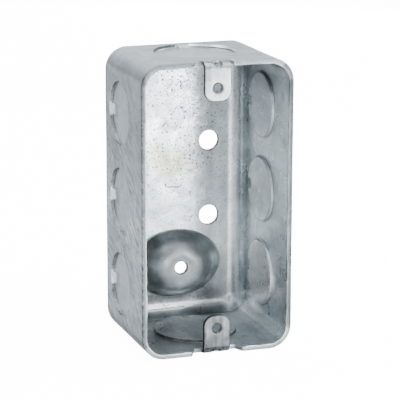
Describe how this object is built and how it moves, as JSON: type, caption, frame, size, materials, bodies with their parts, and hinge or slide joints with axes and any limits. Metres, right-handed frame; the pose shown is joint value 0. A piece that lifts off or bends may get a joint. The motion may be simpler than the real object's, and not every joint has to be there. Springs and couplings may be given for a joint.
{
  "type": "rectangular electrical box",
  "caption": "Deep-drawn steel utility box, open at the front, with folded screw ears, round knockouts in every wall, mounting holes in the back and a raised ground-screw dome.",
  "frame": {"origin": "middle of the back's outer face", "axes": "+Z along the box's length, up in the picture; +Y from the open front to the back; +X across the box to the right, seen from the open front"},
  "size_m": [0.054, 0.0476, 0.1016],
  "materials": {
    "galvanised_steel": "galvanised, satin"
  },
  "bodies": {
    "root": {"box": "galvanised_steel"}
  },
  "joints": []
}
